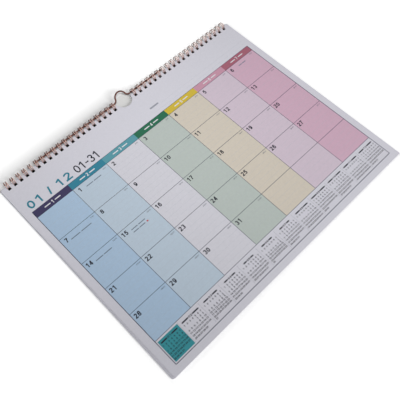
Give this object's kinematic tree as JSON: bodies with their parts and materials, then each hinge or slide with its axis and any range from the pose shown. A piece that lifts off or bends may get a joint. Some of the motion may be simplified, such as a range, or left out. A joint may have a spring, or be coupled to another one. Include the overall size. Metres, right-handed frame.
{
  "type": "wall calendar",
  "caption": "Landscape wall calendar of month sheets on twin-loop wire along the head edge, with a wire hanger whose hump stands in a thumb notch. The front sheet turns over the wire.",
  "frame": {"origin": "on the table under the middle of the whole part's outline, as it lies on its back", "axes": "+X along the binding to the right of the print, +Y towards the head edge and the hanger, +Z out of the printed face"},
  "size_m": [0.3778, 0.3034, 0.0108],
  "materials": {
    "paper": "uncoated",
    "printed_paper": "uncoated, printed in colour",
    "loop_wire": "steel wire with a rose-gold coat",
    "hanger_wire": "steel wire with a dark rose-gold coat"
  },
  "bodies": {
    "bound_stack": {"page_stack": "paper", "left_wire": "loop_wire", "right_wire": "loop_wire"},
    "month_sheet": {"front_sheet": "printed_paper"},
    "hanger": {"hanger": "hanger_wire"}
  },
  "joints": [
    {"name": "sheet_turn", "type": "hinge", "parent": "bound_stack", "child": "month_sheet", "pos_m": [0.0016, 0.14121, 0.00466], "axis": [-1, 0, 0], "range_deg": [0, 180]},
    {"name": "hanger_swing", "type": "hinge", "parent": "bound_stack", "child": "hanger", "pos_m": [0.0016, 0.14356, 0.00341], "axis": [1, 0, 0], "range_deg": [-56, 138]}
  ]
}
